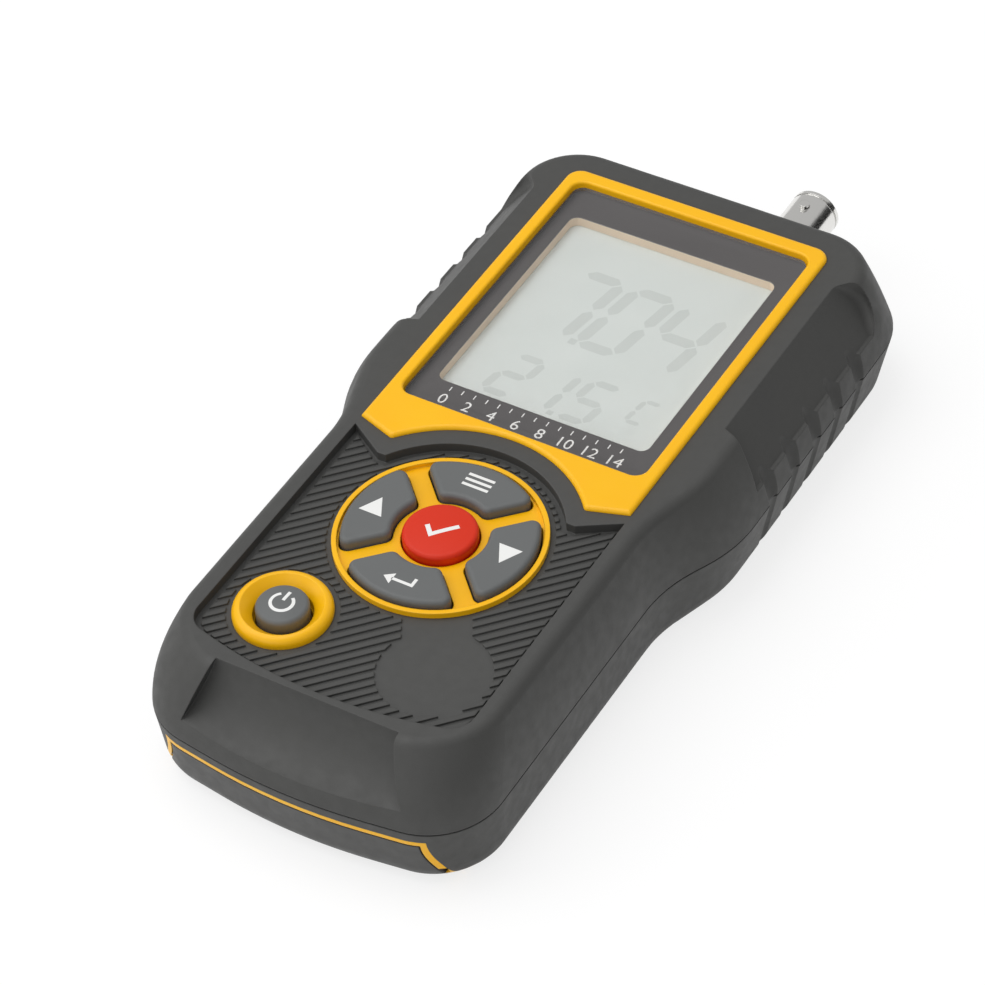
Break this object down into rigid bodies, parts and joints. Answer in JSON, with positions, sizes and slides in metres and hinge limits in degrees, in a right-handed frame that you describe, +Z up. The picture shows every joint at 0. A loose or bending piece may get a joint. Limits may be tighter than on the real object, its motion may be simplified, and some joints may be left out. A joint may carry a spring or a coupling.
{
  "type": "digital ph meter",
  "caption": "Hand-held digital pH meter with overmoulded case, display, ring of keys, battery door and bayonet electrode jack.",
  "frame": {"origin": "middle of the case's length and width, on the back face that the meter lies on", "axes": "+X to the user's right, +Y along the case towards the electrode jack, +Z up out of the display"},
  "size_m": [0.0812, 0.173, 0.0294],
  "materials": {
    "orange_abs": "moulded acrylonitrile butadiene styrene, satin",
    "grey_skin": "moulded thermoplastic elastomer, fine matt texture",
    "door_grey": "moulded housing plastic, matt",
    "key_grey": "moulded silicone, smooth",
    "key_red": "moulded silicone, smooth",
    "window_clear": "hard coated acrylic, polished",
    "gasket_foam": "pale closed-cell foam",
    "window_ink": "printed ink behind acrylic",
    "lcd_glass": "liquid crystal cell with polarisers",
    "light_guide": "white acrylic light guide",
    "holder_white": "moulded, white",
    "zebra_rubber": "silicone contact strip",
    "board_green": "solder-masked glass epoxy",
    "chip_black": "moulded epoxy packages",
    "tinned_steel": "tinned sheet",
    "silicone_clear": "translucent silicone",
    "nickel_plate": "nickel plated brass",
    "jack_white": "moulded fluoropolymer",
    "contact_gold": "gold plated contact",
    "seal_black": "moulded seal",
    "cell_wrap": "plain shrink wrap over steel can",
    "lead_black": "insulated wire",
    "screw_steel": "zinc plated steel"
  },
  "bodies": {
    "case": {"front_shell": "orange_abs", "rear_shell": "orange_abs", "front_overmould": "grey_skin", "rear_overmould": "grey_skin", "case_seal": "seal_black", "display_window": "window_clear", "window_mask": "window_ink", "display_gasket": "gasket_foam", "lcd_panel": "lcd_glass", "lcd_backlight": "light_guide", "lcd_holder": "holder_white", "zebra_strip": "zebra_rubber", "main_board": "board_green", "board_chips": "chip_black", "input_shield": "tinned_steel", "keypad_mat": "silicone_clear", "menu_dome": "silicone_clear", "up_dome": "silicone_clear", "down_dome": "silicone_clear", "esc_dome": "silicone_clear", "enter_dome": "silicone_clear", "power_dome": "silicone_clear", "bnc_shell": "nickel_plate", "bnc_insulator": "jack_white", "bnc_contact": "contact_gold", "bnc_gasket": "seal_black", "bnc_washer": "nickel_plate", "bnc_nut": "nickel_plate", "bnc_lead": "lead_black", "battery_cell_1": "cell_wrap", "battery_cell_2": "cell_wrap", "battery_cell_3": "cell_wrap", "battery_cell_4": "cell_wrap", "battery_springs": "screw_steel", "battery_plates": "screw_steel", "battery_leads": "lead_black", "case_screws": "screw_steel", "board_screws": "screw_steel"},
    "menu_button": {"menu_key": "key_grey"},
    "up_button": {"up_key": "key_grey"},
    "down_button": {"down_key": "key_grey"},
    "esc_button": {"esc_key": "key_grey"},
    "enter_button": {"enter_key": "key_red"},
    "power_button": {"power_key": "key_grey"},
    "door": {"battery_door": "door_grey"}
  },
  "joints": [
    {"name": "menu_press", "type": "slide", "parent": "case", "child": "menu_button", "axis": [0, 0, -1], "range_m": [0, 0.001], "stiffness_N_per_m": 600, "springref_m": -0.0008, "deforming": ["menu_dome"]},
    {"name": "up_press", "type": "slide", "parent": "case", "child": "up_button", "axis": [0, 0, -1], "range_m": [0, 0.001], "stiffness_N_per_m": 600, "springref_m": -0.0008, "deforming": ["up_dome"]},
    {"name": "down_press", "type": "slide", "parent": "case", "child": "down_button", "axis": [0, 0, -1], "range_m": [0, 0.001], "stiffness_N_per_m": 600, "springref_m": -0.0008, "deforming": ["down_dome"]},
    {"name": "esc_press", "type": "slide", "parent": "case", "child": "esc_button", "axis": [0, 0, -1], "range_m": [0, 0.001], "stiffness_N_per_m": 600, "springref_m": -0.0008, "deforming": ["esc_dome"]},
    {"name": "enter_press", "type": "slide", "parent": "case", "child": "enter_button", "axis": [0, 0, -1], "range_m": [0, 0.001], "stiffness_N_per_m": 600, "springref_m": -0.0008, "deforming": ["enter_dome"]},
    {"name": "power_press", "type": "slide", "parent": "case", "child": "power_button", "axis": [0, 0, -1], "range_m": [0, 0.001], "stiffness_N_per_m": 600, "springref_m": -0.0008, "deforming": ["power_dome"]},
    {"name": "door_slide", "type": "slide", "parent": "case", "child": "door", "axis": [0, -1, 0], "range_m": [0, 0.058]}
  ]
}
